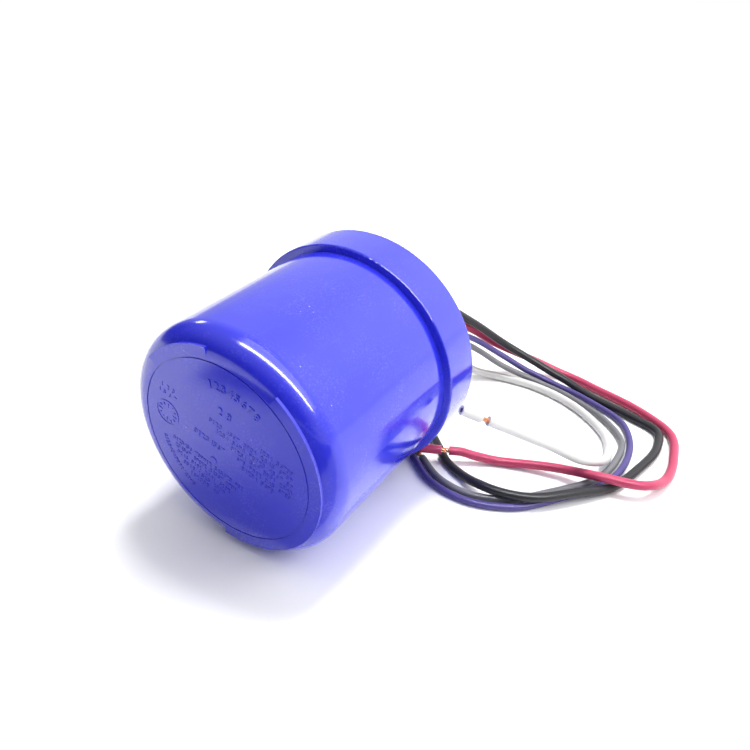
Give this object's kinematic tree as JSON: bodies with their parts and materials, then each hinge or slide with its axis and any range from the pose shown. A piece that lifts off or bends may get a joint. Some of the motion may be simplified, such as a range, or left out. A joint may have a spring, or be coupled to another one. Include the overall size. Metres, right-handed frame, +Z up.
{
  "type": "photoelectric lighting control with leads",
  "caption": "Blue cylindrical outdoor light sensor switch with a stepped collar, rounded front edge, threaded stem and loose wire leads, lying on its side.",
  "frame": {"origin": "on the surface it lies on, under the middle of the housing and stem's box, the loose leads left out", "axes": "+Z up; the control lies on its side with its face towards -Y, dipping by 3.12 degrees, and its stem and leads towards +Y; +X to the right seen from the face"},
  "size_m": [0.1505, 0.1678, 0.0847],
  "materials": {
    "blue_plastic": "glossy moulded",
    "window_plastic": "clear smoked",
    "black_plastic": "moulded",
    "zinc_steel": "zinc plated",
    "gasket_rubber": "closed-cell foam",
    "epoxy": "potting resin",
    "board": "solder mask",
    "component_black": "moulded",
    "component_blue": "dipped coating",
    "component_yellow": "moulded",
    "component_sleeve": "shrunk sleeve",
    "component_tan": "lacquer",
    "sensor_resin": "clear resin",
    "copper": "bare copper strands",
    "black_insulation": "satin insulation",
    "red_insulation": "satin insulation",
    "white_insulation": "satin insulation",
    "purple_insulation": "satin insulation",
    "grey_insulation": "satin insulation"
  },
  "bodies": {
    "root": {"housing": "blue_plastic", "light_window": "window_plastic", "base_plate": "black_plastic", "base_screws": "zinc_steel", "stem": "zinc_steel", "face_gasket": "gasket_rubber", "locknut": "zinc_steel", "sealing_plug": "epoxy", "circuit_board": "board", "board_screws": "zinc_steel", "relay": "component_black", "surge_varistor": "component_blue", "film_capacitor": "component_yellow", "reservoir_capacitor": "component_sleeve", "timing_capacitor": "component_sleeve", "isolating_transformer": "component_yellow", "resistors": "component_tan", "diodes": "component_black", "control_chip": "component_black", "sensor_board": "board", "light_sensor": "sensor_resin", "black_lead": "black_insulation", "black_strands": "copper", "black_slug": "black_insulation", "red_lead": "red_insulation", "red_strands": "copper", "red_slug": "red_insulation", "white_lead": "white_insulation", "white_strands": "copper", "white_slug": "white_insulation", "purple_lead": "purple_insulation", "purple_strands": "copper", "purple_slug": "purple_insulation", "grey_lead": "grey_insulation", "grey_strands": "copper", "grey_slug": "grey_insulation"}
  },
  "joints": []
}
